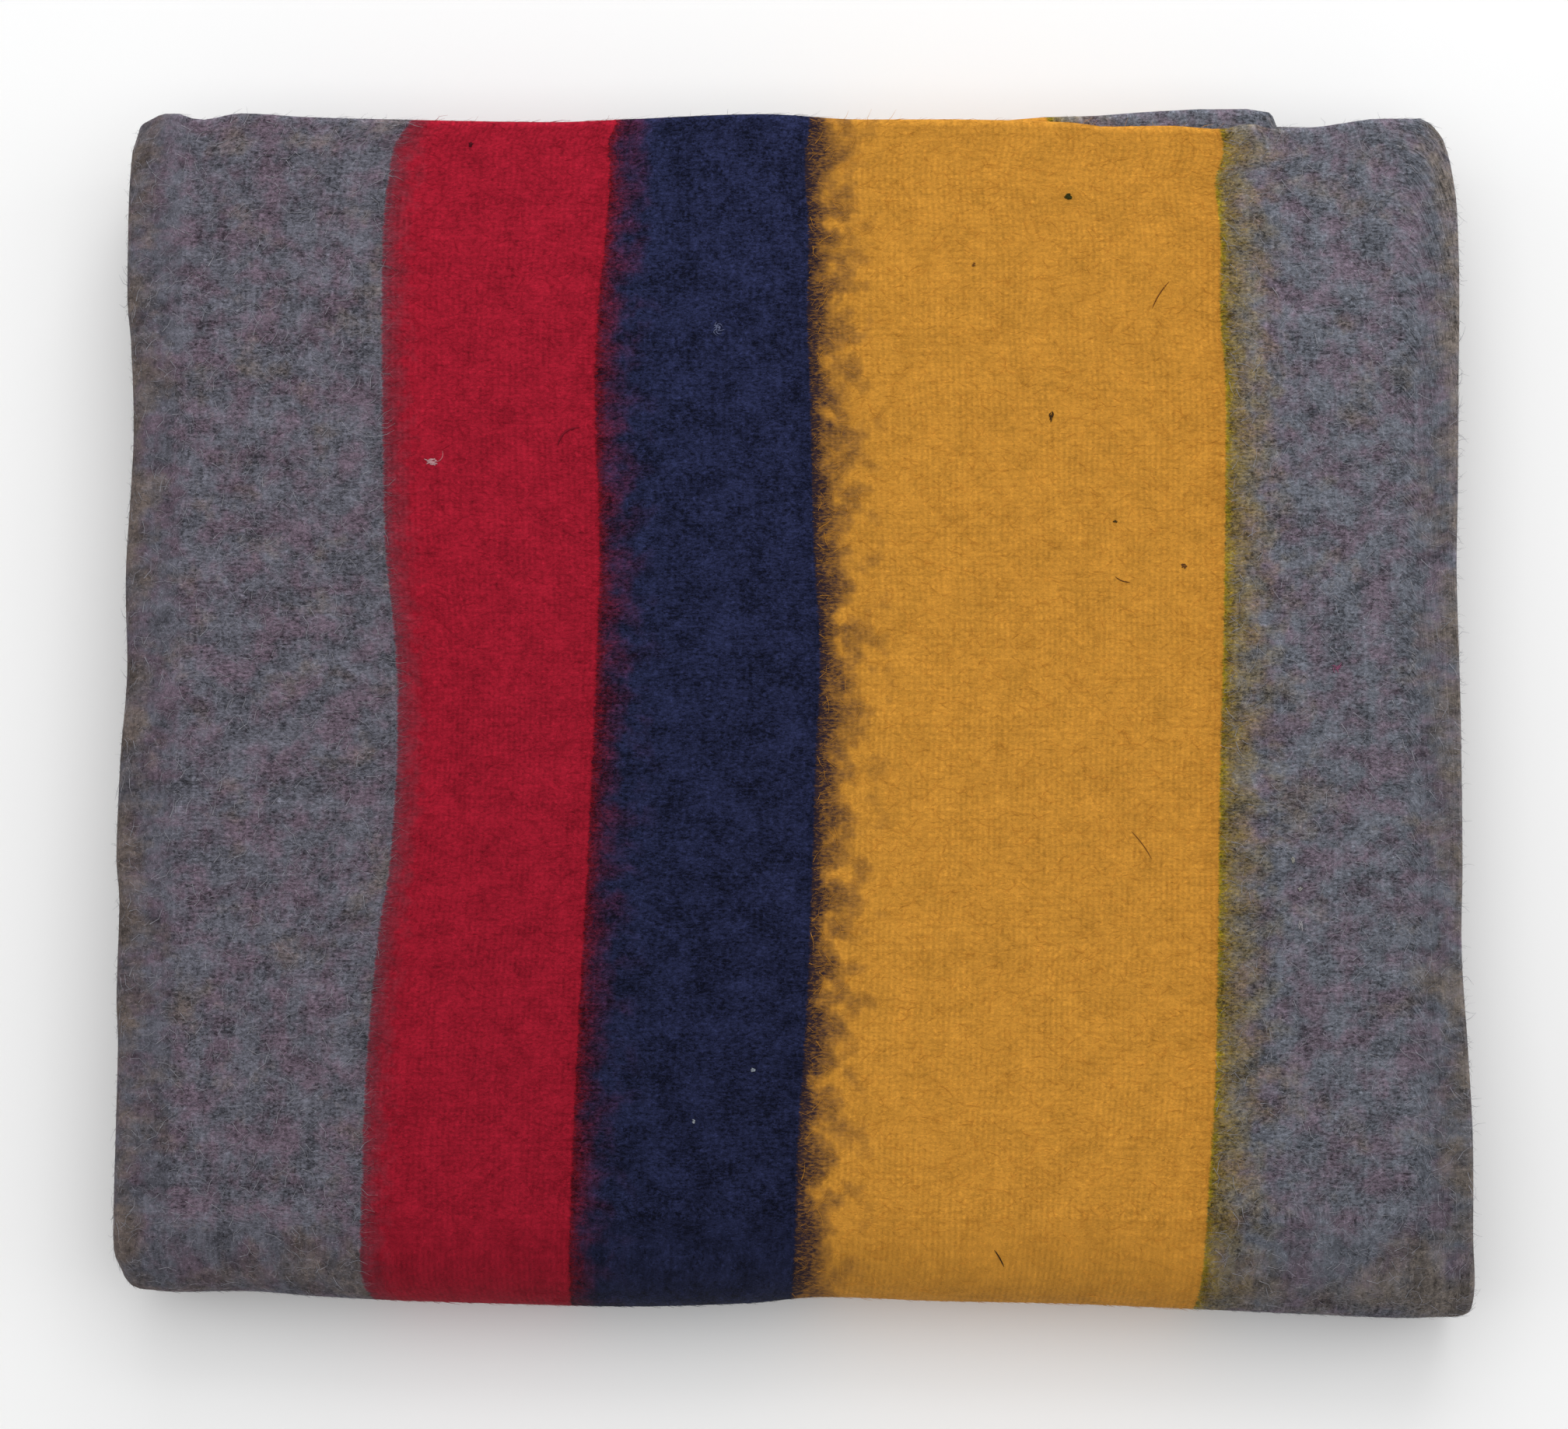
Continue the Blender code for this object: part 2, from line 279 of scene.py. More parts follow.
# The stripes from the hem inwards. Each row is the far edge of one stripe, with the stripe beyond it.
# place: where the edge is. reach: how far locks of the nap from beyond are combed over it.
# haze: how dense the loose fibres are at the edge. spread, thinning: how far and how steeply they thin out.
# patchy, patch: how patchy the haze is, and how wide its patches are.
# colour, veil: the colours of the stripe beyond and of the haze.
# contrast: how uneven the stripe is. fade: how much painted shade darkens it from back to front,
# standing in for light that falls off towards the front.
# Lengths are in millimetres.
StripeEdge = collections.namedtuple(
    "StripeEdge", "place reach haze spread thinning patchy patch colour veil contrast fade")
stripes = {
    "edges": (
        StripeEdge(92.5, 0.6, 0.94, 26.0, 1.6, 0.35, 8.0, "#bc8331", "#786422", 0.35, 0.0),
        StripeEdge(252.0, 0.7, 1.14, 23.0, 1.3, 0.60, 10.0, "#1c2039", "#2c2128", 1.50, 0.34),
        StripeEdge(332.5, 0.6, 1.0, 24.0, 3.6, 0.45, 9.0, "#8f1628", "#5a0c16", 0.54, 0.20),
        StripeEdge(415.4, 0.6, 0.74, 13.0, 1.4, 0.35, 5.0, "#5b5660", "#523640", 1.24, 0.08),
    ),
    "wander": 2.0, "wanderSize": 4,          # the edges wander a little
    "softEdge": 0.6,                         # half the width over which one colour turns into the next
    "lock": 0.9, "lockStretch": (0.4, 1.0, 1.0), "streaks": (0.75, 1.25),
    "olive": "#7d700c", "oliveWidth": 4.0, "oliveShare": 0.8,    # a line where yellow lies on grey
    "frontShadeFrom": 30.0, "frontShadeTo": 450.0,       # distances along the stripes over which the painted shade darkens them towards the front
    "greyBlue": "#585861", "greyPurple": "#5d515c", "greyBrown": "#635955", "greyDark": "#292932",
    "greyPale": "#96959c",
    "marginTint": (1.10, 1.17, 1.14), "marginFrontShade": 0.20,    # the grey by the hem is paler; painted shade darkens it from back to front
    "warp": 2.2, "weft": 3.1,    # the thread grooves that show through the nap
}
# How far each stripe edge wanders across, in millimetres, as rows of (distance along the cloth, shift).
edgeDrift = {
    "yellow": ((1, 2), (5, 3), (9, 3.5), (14, 2.5), (22, -0.3), (34, 0.5), (47, 1.5), (78, 0.9),
               (108, 2.7), (139, 2.3), (200, 0.8), (262, -1.5), (320, -2.8), (379, -4.7), (408, -7),
               (435, -9), (460, -12)),
    "navy": ((1, 1), (18, -1), (47, 0.5), (78, 0), (108, 1), (170, 2.5), (215, 5), (245, 3.5), (290, 2),
             (350, -0.5), (408, -4), (435, -4.5), (460, -6)),
    "red": ((1, 6), (9, 2.5), (20, 3.5), (47, 2), (78, -1), (108, -2), (170, 0), (230, -1.5), (290, -4),
            (350, -7), (408, -9.5), (460, -11)),
    "body": ((1, 8), (9, 2.5), (20, 0.5), (47, -2), (78, -2), (108, -1.5), (170, 0.5), (215, 5.6), (245, 6.5),
             (290, 4), (320, -0.6), (379, -5.5), (408, -6.3), (445, -7), (460, -3)),
}


def clothCoordinates(fromHem, fromSelvedge, length):
    # Distance from the nearer hem, bent so that each stripe edge is at one value all along the cloth.
    nearer = np.minimum(fromHem, length - fromHem)
    table = edgeDrift["body"]
    half = table[-1][0] / 1000
    there = half - np.abs(half - np.mod(fromSelvedge, 2 * half))
    knots = [row.place / 1000 for row in stripes["edges"]]
    shifts = [along(rows, there) for rows in edgeDrift.values()]
    knots = [0.0] + knots + [knots[-1] + 0.08]
    shifts = [shifts[0] * 0] + shifts + [shifts[0] * 0]
    bent = nearer.copy()
    for number in range(len(knots) - 1):
        inside = (nearer >= knots[number]) & (nearer < knots[number + 1])
        part = (nearer - knots[number]) / (knots[number + 1] - knots[number])
        shift = shifts[number] * (1 - part) + shifts[number + 1] * part
        bent = np.where(inside, nearer + shift, bent)
    return bent


# Where the marks on the cloth begin and end, which its material and the raised fibres follow.
marks = {
    "sideBand": (0.006, 0.018), "sideFacing": (0.1, 0.5), "sideFoot": (0.001, 0.006),
    "hemBand": 0.01, "rimBand": 0.0035,
    "nearSideEdges": (0.002, 0.023), "nearFrontEdge": (0.004, 0.040), "nearFrontEdgeShare": 0.75,
    "edgeBand": 4.0, "edgeShift": 0.4,       # along the stripe edges: millimetres, and parts of them
}


def addValues(mesh, name, kind, values):
    field = "vector" if kind == "FLOAT_VECTOR" else "value"
    mesh.attributes.new(name, kind, "POINT").data.foreach_set(field, np.ravel(values).astype(np.float32))


def unit(ways):
    return ways / np.maximum(np.linalg.norm(ways, axis=-1, keepdims=True), 1e-9)


def napDirections(places, layer, row, outer):
    # Which way the nap lies: back towards the hem that the cloth starts at.
    across = layer.max() + 1
    grid = np.zeros((2, across, row.max() + 1, 3))
    grid[outer, layer, row] = places
    before = np.maximum(np.arange(across) - 1, 0)
    after = np.minimum(np.arange(across) + 1, across - 1)
    return unit(grid[:, before] - grid[:, after])[outer, layer, row]


def markCloth(mesh, layers, strips, layer, row, outer, places):
    # Marks the points of the cloth for its material and for the raised fibres.
    addValues(mesh, "napDirection", "FLOAT_VECTOR", napDirections(places, layer, row, outer))
    bentPlace = clothCoordinates(layers.travelled[layer], strips.travelled[row], layers.total)
    flatPlace = np.stack([bentPlace, strips.travelled[row], 0 * bentPlace], axis=1)
    addValues(mesh, "flatCloth", "FLOAT_VECTOR", flatPlace)

    top = layers.share["upper layer"][layer] * strips.share["upper strip"][row] * outer
    hem = layers.share["hem roll"][layer] + (layers.travelled[layer] < marks["hemBand"])
    top = np.clip(np.maximum(top, hem * strips.share["upper strip"][row] * outer), 0, 1)
    past = [(bentPlace * 1000 - edge.place) / marks["edgeBand"] for edge in stripes["edges"]]
    nearEdge = sum(np.exp(-((distance - marks["edgeShift"]) ** 2)) for distance in past)
    addValues(mesh, "topFace", "FLOAT", top)
    addValues(mesh, "stripeEdge", "FLOAT", top * nearEdge)

    normals = np.empty(len(mesh.vertices) * 3)
    mesh.vertices.foreach_get("normal", normals)
    normals = normals.reshape(-1, 3)
    low, high = places.min(axis=0), places.max(axis=0)
    x, y, z = places.T
    sides = (
        (x - low[0], -normals[:, 0]), (high[0] - x, normals[:, 0]),
        (y - low[1], -normals[:, 1]), (high[1] - y, normals[:, 1]),
    )
    side = np.zeros(len(x))
    for distance, facing in sides:
        nearSide = 1 - softStep(*marks["sideBand"], distance)
        side = np.maximum(side, nearSide * softStep(*marks["sideFacing"], facing))
    addValues(mesh, "sideFace", "FLOAT", np.clip(side * softStep(*marks["sideFoot"], z), 0, 1))

    # A band along the sides and the front edge: the grey is browner there, and the fibres are drawn out along
    # the fold.
    nearOuterEdge = 1 - softStep(*marks["nearSideEdges"], np.minimum(x - low[0], high[0] - x))
    nearFrontEdge = 1 - softStep(*marks["nearFrontEdge"], y - low[1])
    addValues(mesh, "wornEdge", "FLOAT", np.maximum(nearOuterEdge, marks["nearFrontEdgeShare"] * nearFrontEdge))

    # Where the painted highlight along the rim of the cloth goes.
    fromEnd = np.minimum(layers.travelled, layers.total - layers.travelled)[layer]
    fromSide = np.minimum(strips.travelled, strips.total - strips.travelled)[row]
    addValues(mesh, "clothRim", "FLOAT", 1 - softStep(0, marks["rimBand"], np.minimum(fromEnd, fromSide)))


def faceOrder(face):
    # One number for each face of the sheet, from its first and last corners.
    corners = [corner.index for corner in face.verts]
    return min(corners) * 1.0e6 + max(corners)


def makeCloth():
    hemStart = (hemLine + fold["hemRoll"] * math.sin(hemTurn),
                outerLayer - fold["hemRoll"] * (1 - math.cos(hemTurn)))
    layers = foldedLine(hemStart, 180 - fold["hemTurn"], layerRuns, fold["left"], fold["right"])
    strips = foldedLine((fold["back"], halfStrip + 3 * strip), 180, stripRuns, fold["front"], fold["back"])
    across, deep = len(layers.place), len(strips.place)

    # The flat cloth gets its thickness first and is folded after.
    sheet = bmesh.new()
    bmesh.ops.create_grid(sheet, x_segments=across - 1, y_segments=deep - 1, size=0.5)
    bmesh.ops.solidify(sheet, geom=sheet.faces[:], thickness=fold["cloth"])
    # The faces are put in one order, so that the nap grows in the same places each time.
    sheet.verts.index_update()
    sheet.faces.sort(key=faceOrder)
    mesh = bpy.data.meshes.new("cloth")
    sheet.to_mesh(mesh)
    sheet.free()
    flat = np.empty(len(mesh.vertices) * 3)
    mesh.vertices.foreach_get("co", flat)
    flat = flat.reshape(-1, 3)
    layer = np.rint((flat[:, 0] + 0.5) * (across - 1)).astype(int)
    row = np.rint((flat[:, 1] + 0.5) * (deep - 1)).astype(int)
    depth = flat[:, 2] - (flat[:, 2].min() + flat[:, 2].max()) / 2
    depth *= rimFactor(layers)[layer] * rimFactor(strips)[row]
    places = foldedPoints(layers, strips, layer, row, depth)
    middle = (places.min(axis=0) + places.max(axis=0)) / 2
    places -= (middle[0], middle[1], 0)
    mesh.vertices.foreach_set("co", places.ravel())
    mesh.update()
    mesh.shade_smooth()
    markCloth(mesh, layers, strips, layer, row, (depth > 0).astype(int), places)
    cloth = bpy.data.objects.new("blanketCloth", mesh)
    bpy.context.scene.collection.objects.link(cloth)
    flatSize = (layers.total, strips.total)
    print("cloth:", len(mesh.polygons) * 2, "triangles, flat size", [round(side, 3) for side in flatSize])
    return cloth, flatSize


def linear(code):
    # An sRGB hex colour turned linear.
    parts = [int(code[place:place + 2], 16) / 255 for place in (1, 3, 5)]
    return [part / 12.92 if part <= 0.04045 else ((part + 0.055) / 1.055) ** 2.4 for part in parts] + [1.0]


def addNode(tree, kind, inputs=None, **settings):
    # Adds a node with its settings and links, and gives its first output.
    node = tree.nodes.new(kind)
    for name, value in settings.items():
        setattr(node, name, value)
    sockets = [socket for socket in node.inputs if socket.enabled]
    for name, value in (inputs or {}).items():
        socket = sockets[name] if isinstance(name, int) else next(s for s in sockets if s.name == name)
        if isinstance(value, bpy.types.NodeSocket):
            tree.links.new(value, socket)
        else:
            socket.default_value = value
    return next((socket for socket in node.outputs if socket.enabled), None)


def numbers(tree, operation, *values):
    return addNode(tree, "ShaderNodeMath", dict(enumerate(values)), operation=operation)


def vectors(tree, operation, *values):
    return addNode(tree, "ShaderNodeVectorMath", dict(enumerate(values)), operation=operation)


def remapped(tree, value, start, end=(0.0, 1.0), smooth=False):
    # The value with the range "start" turned into the range "end".
    inputs = {"Value": value, 1: start[0], 2: start[1], 3: end[0], 4: end[1]}
    shape = "SMOOTHSTEP" if smooth else "LINEAR"
    return addNode(tree, "ShaderNodeMapRange", inputs, interpolation_type=shape)


def mixed(tree, share, first, second, kind="RGBA"):
    return addNode(tree, "ShaderNodeMix", {"Factor": share, "A": first, "B": second}, data_type=kind)


def noise(tree, place, size, detail, roughness=0.5):
    # Soft noise whose largest lumps are about "size" wide, in the units of "place".
    return addNode(tree, "ShaderNodeTexNoise", {
        "Vector": place, "Scale": 1 / size, "Detail": detail, "Roughness": roughness,
    })


def newMaterial(name):
    material = bpy.data.materials.new(name)
    material.use_nodes = True
    material.node_tree.nodes.clear()
    return material, material.node_tree


# The heather of the grey. Sizes are in millimetres.
heather = {
    "patch": 13, "purple": (0.44, 0.60),     # lumps of blue and purple wool
    "soil": 24, "brown": (0.55, 0.73),       # brown patches
    "edgeBrown": 0.19,                       # more brown towards the sides and the front edge
    "fleck": 5.5, "dark": (0.57, 0.73), "darkest": 0.6,
    "apart": (431.0, 77.0, 0.0),             # so that the brown doesn't follow the purple
}


def heatherGrey(tree, flat, nearOuterEdge):
    # Undyed and dyed fibres carded together: blue, purple and brown patches and dark flecks.
    patch = noise(tree, flat, heather["patch"], 4, 0.6)
    purple = remapped(tree, patch, heather["purple"])
    shifted = vectors(tree, "ADD", flat, heather["apart"])
    soil = noise(tree, shifted, heather["soil"], 5, 0.65)
    nearEdge = numbers(tree, "MULTIPLY_ADD", nearOuterEdge, heather["edgeBrown"], soil)
    brown = remapped(tree, nearEdge, heather["brown"])
    colour = mixed(tree, purple, linear(stripes["greyBlue"]), linear(stripes["greyPurple"]))
    colour = mixed(tree, brown, colour, linear(stripes["greyBrown"]))
    flecks = noise(tree, shifted, heather["fleck"], 4, 0.7)
    dark = remapped(tree, flecks, heather["dark"], (0.0, heather["darkest"]))
    return mixed(tree, dark, colour, linear(stripes["greyDark"]))


def combedStripes(tree, flat, grey):
    # The stripes, each with the nap of the next one combed over its edge, and how uneven each colour is.
    fromHem = addNode(tree, "ShaderNodeSeparateXYZ", {0: flat})
    wander = noise(tree, flat, stripes["wanderSize"], 3, 0.6)
    place = numbers(tree, "MULTIPLY_ADD", wander, stripes["wander"], fromHem)
    place = numbers(tree, "SUBTRACT", place, stripes["wander"] / 2)
    colour = vectors(tree, "MULTIPLY", grey, stripes["marginTint"])
    contrast, fade = stripes["edges"][-1].contrast, stripes["marginFrontShade"]
    lockPlace = vectors(tree, "MULTIPLY", flat, stripes["lockStretch"])
    locks = noise(tree, lockPlace, stripes["lock"], 3, 0.6)
    patches = {size: noise(tree, flat, size, 2) for size in sorted({edge.patch for edge in stripes["edges"]})}
    streaky = remapped(tree, locks, (0.36, 0.64), stripes["streaks"])
    soft = stripes["softEdge"]
    for number, edge in enumerate(stripes["edges"]):
        beyond = numbers(tree, "SUBTRACT", edge.place, place)
        lockLength = remapped(tree, locks, (0.34, 0.66), (0.0, edge.reach))
        bare = numbers(tree, "SUBTRACT", beyond, lockLength)
        solid = remapped(tree, bare, (-soft, soft), (1.0, 0.0), smooth=True)
        # The loose fibres thin out away from the edge, further in some patches than in others.
        reached = (edge.spread * (1 - edge.patchy), edge.spread * (1 + edge.patchy))
        spread = remapped(tree, patches[edge.patch], (0.34, 0.66), reached)
        thick = remapped(tree, beyond, (0.0, spread), (1.0, 0.0))
        thick = numbers(tree, "POWER", thick, edge.thinning)
        thick = numbers(tree, "MULTIPLY", thick, edge.haze)
        thick = numbers(tree, "MULTIPLY", thick, streaky)
        colour = mixed(tree, thick, colour, linear(edge.veil))
        if number == 0:
            line = remapped(tree, beyond, (0.0, stripes["oliveWidth"]), (stripes["oliveShare"], 0.0),
                            smooth=True)
            spots = remapped(tree, patches[edge.patch], (0.40, 0.60), (0.3, 1.0))
            line = numbers(tree, "MULTIPLY", line, spots)
            colour = mixed(tree, line, colour, linear(stripes["olive"]))
        nextColour = grey if number == len(stripes["edges"]) - 1 else linear(edge.colour)
        colour = mixed(tree, solid, colour, nextColour)
        contrast = mixed(tree, solid, contrast, edge.contrast, "FLOAT")
        fade = mixed(tree, solid, fade, edge.fade, "FLOAT")
    # Painted shade: each colour darkens from back to front, standing in for light that falls off towards the
    # front.
    down = remapped(tree, fromHem.node.outputs[1], (stripes["frontShadeFrom"], stripes["frontShadeTo"]), (0.5, -0.5))
    frontShaded = numbers(tree, "MULTIPLY_ADD", down, fade, 1.0)
    colour = vectors(tree, "SCALE", colour, frontShaded)
    return colour, contrast


# The felted face of the cloth. Sizes are in millimetres.
felt = {
    "fibre": 1.0, "alongNap": (0.45, 1.0, 0.0), "alongFold": (1.0, 0.30, 0.0),    # drawn out one way
    "tuft": 14, "tuftShare": 1.3, "uneven": 1.2,
    "curls": ((2.6, 0.0, 0.17), (3.7, 61.0, 0.14), (3.1, 117.0, -0.14)),    # size, shift, how pale
    "curlPiece": 1 / 0.55, "curlWidth": (0.006, 0.022),
    "bendSize": 30, "bend": (2.5, 3.5, 0.0),    # the threads don't run quite straight
    "groovePatch": 21, "weftShare": 0.5, "grooveShade": 0.034, "grooveDepth": 0.15,
    # How strongly the pile shades the colour, its darkest shading, and how much the painted highlight along
    # the rim of the cloth lightens it.
    "shade": 2.5, "darkest": 0.25, "rimHighlight": 0.45,
    "relief": 0.0008,                        # metres
}


def curledFibres(tree, flat, size, shift, pieces):
    # Thin curled lines about 0.2 mm wide, broken into short pieces.
    place = vectors(tree, "MULTIPLY_ADD", flat, (0.7 / size, 1 / size, 1), (shift, shift, shift))
    level = noise(tree, place, 1.0, 2, 0.6)
    level = numbers(tree, "SUBTRACT", level, 0.5)
    level = numbers(tree, "ABSOLUTE", level)
    line = remapped(tree, level, felt["curlWidth"], (1.0, 0.0))
    return numbers(tree, "MULTIPLY", line, pieces)


def feltedWool():
    # Wool woven in coarse yarn, then fulled and raised with teasels: matt, with a painted highlight along the
    # rim of the cloth that stands in for the sheen where the nap is seen edge on, thread grooves 2.2 and
    # 3.1 mm apart that show faintly, and fibres combed one way.
    material, tree = newMaterial("feltedWool")
    flat = addNode(tree, "ShaderNodeAttribute", attribute_name="flatCloth").node.outputs["Vector"]
    nearOuterEdge = addNode(tree, "ShaderNodeAttribute", attribute_name="wornEdge").node.outputs["Fac"]
    flat = vectors(tree, "MULTIPLY", flat, (1000.0, 1000.0, 1000.0))
    grey = heatherGrey(tree, flat, nearOuterEdge)
    colour, contrast = combedStripes(tree, flat, grey)

    # The thread grooves come and go in patches.
    bend = noise(tree, flat, felt["bendSize"], 1).node.outputs["Color"]
    bent = vectors(tree, "MULTIPLY_ADD", bend, felt["bend"], flat)
    apart = (2 * math.pi / stripes["warp"], 2 * math.pi / stripes["weft"], 0.0)
    threads = vectors(tree, "MULTIPLY", bent, apart)
    threads = vectors(tree, "SINE", threads)
    waves = addNode(tree, "ShaderNodeSeparateXYZ", {0: threads}).node.outputs
    patchy = noise(tree, bent, felt["groovePatch"], 3).node.outputs["Color"]
    patchy = addNode(tree, "ShaderNodeSeparateXYZ", {0: patchy}).node.outputs
    warpShare = remapped(tree, patchy[0], (0.36, 0.58), (0.25, 1.0))
    weftShare = remapped(tree, patchy[1], (0.34, 0.58))
    dashes = numbers(tree, "MULTIPLY_ADD", waves[1], 0.45, 0.85)
    warp = numbers(tree, "MULTIPLY", waves[0], warpShare)
    warp = numbers(tree, "MULTIPLY", warp, dashes)
    weft = numbers(tree, "MULTIPLY", waves[1], weftShare)
    weft = numbers(tree, "MULTIPLY", weft, felt["weftShare"])
    grooves = numbers(tree, "ADD", warp, weft)

    # Tufts and fibres at every size from 14 mm down, drawn out along the nap, and along the fold where an
    # edge rolls over.
    lengthwise = vectors(tree, "MULTIPLY", flat, felt["alongNap"])
    swapped = vectors(tree, "MULTIPLY", flat, felt["alongFold"])
    fibrePlace = mixed(tree, nearOuterEdge, lengthwise, swapped, "VECTOR")
    fibres = noise(tree, fibrePlace, felt["fibre"], 3, 0.85)
    tufts = noise(tree, flat, felt["tuft"], 7, 0.92)
    pile = numbers(tree, "MULTIPLY_ADD", tufts, felt["tuftShare"], fibres)
    uneven = numbers(tree, "SUBTRACT", pile, (1 + felt["tuftShare"]) / 2)
    uneven = numbers(tree, "MULTIPLY", uneven, felt["uneven"])
    pieces = noise(tree, flat, felt["curlPiece"], 1)
    pieces = remapped(tree, pieces, (0.44, 0.56))
    for size, shift, strength in felt["curls"]:
        curls = curledFibres(tree, flat, size, shift, pieces)
        uneven = numbers(tree, "MULTIPLY_ADD", curls, strength, uneven)
    uneven = numbers(tree, "MULTIPLY", uneven, contrast)
    uneven = numbers(tree, "MULTIPLY_ADD", grooves, felt["grooveShade"], uneven)
    light = numbers(tree, "MULTIPLY_ADD", uneven, felt["shade"], 1.0)
    light = numbers(tree, "MAXIMUM", light, felt["darkest"])
    # Painted highlight: the colour is made paler along the rim of the cloth, standing in for sheen where the
    # nap is seen edge on.
    rim = addNode(tree, "ShaderNodeAttribute", attribute_name="clothRim").node.outputs["Fac"]
    rimLit = numbers(tree, "MULTIPLY_ADD", rim, felt["rimHighlight"], 1.0)
    light = numbers(tree, "MULTIPLY", light, rimLit)
    colour = vectors(tree, "SCALE", colour, light)
    height = numbers(tree, "MULTIPLY_ADD", grooves, felt["grooveDepth"], pile)
    relief = addNode(tree, "ShaderNodeBump", {"Height": height, "Strength": 0.5, "Distance": felt["relief"]})
    shader = addNode(tree, "ShaderNodeBsdfPrincipled", {
        "Base Color": colour, "Roughness": 0.95, "Specular IOR Level": 0.06, "Normal": relief,
        "Sheen Weight": 0.03, "Sheen Roughness": 0.5,
    })
    addNode(tree, "ShaderNodeOutputMaterial", {"Surface": shader})
    return material


def napFibre():
    # Single raised fibres of the same wool: each has the colour of the stripe that it grows from.
    material, tree = newMaterial("napFibre")
    flat = addNode(tree, "ShaderNodeAttribute", attribute_name="flatCloth").node.outputs["Vector"]
    tone = addNode(tree, "ShaderNodeAttribute", attribute_name="fibreTone").node.outputs["Fac"]
    flat = vectors(tree, "MULTIPLY", flat, (1000.0, 1000.0, 1000.0))
    fromHem = addNode(tree, "ShaderNodeSeparateXYZ", {0: flat})
    grey = mixed(tree, tone, linear(stripes["greyBlue"]), linear(stripes["greyPale"]))
    colour = grey
    for number, edge in enumerate(stripes["edges"]):
        past = numbers(tree, "GREATER_THAN", fromHem, edge.place)
        nextColour = grey if number == len(stripes["edges"]) - 1 else linear(edge.colour)
        colour = mixed(tree, past, colour, nextColour)
    light = remapped(tree, tone, (0.0, 1.0), (0.75, 1.3))
    colour = vectors(tree, "SCALE", colour, light)
    shader = addNode(tree, "ShaderNodeBsdfPrincipled", {
        "Base Color": colour, "Roughness": 0.85, "Specular IOR Level": 0.1,
    })
    addNode(tree, "ShaderNodeOutputMaterial", {"Surface": shader})
    return material


# Raised fibres that stand clear of the felt. One row for each growth of them.
# where, density: the faces that they grow on, and how many to a square metre.
# length, width: of one fibre. lift, aside: how far it stands up and turns aside, in radians.
# pale: the least paleness, from 0 to 1.
Growth = collections.namedtuple("Growth", "name where density length width lift aside pale seed")
nap = {
    "growths": (
        Growth("napTop", "topFace", 52000, 0.0048, 0.00010, 0.07, 0.70, 0.0, 3),
        Growth("napTopFine", "topFace", 52000, 0.0034, 0.00009, 0.09, 1.10, 0.0, 11),
        Growth("napPale", "topFace", 34000, 0.0054, 0.00019, 0.08, 1.40, 0.75, 21),
        Growth("napStripeEdges", "stripeEdge", 620000, 0.0056, 0.00006, 0.07, 0.50, 0.0, 5),
        Growth("napSides", "sideFace", 78000, 0.0030, 0.00012, 0.12, 0.80, 0.0, 8),
    ),
    "shapes": ((-0.13, 0.015), (-0.05, 0.03), (0.06, 0.02), (0.14, 0.01)),    # bend aside, rise at the middle
    "points": 3,                 # along one fibre
    "lengths": (0.5, 1.4), "lengthSeed": 77,    # how the lengths vary
    "tip": 0.25,                 # width of the tip for a root of 1
}


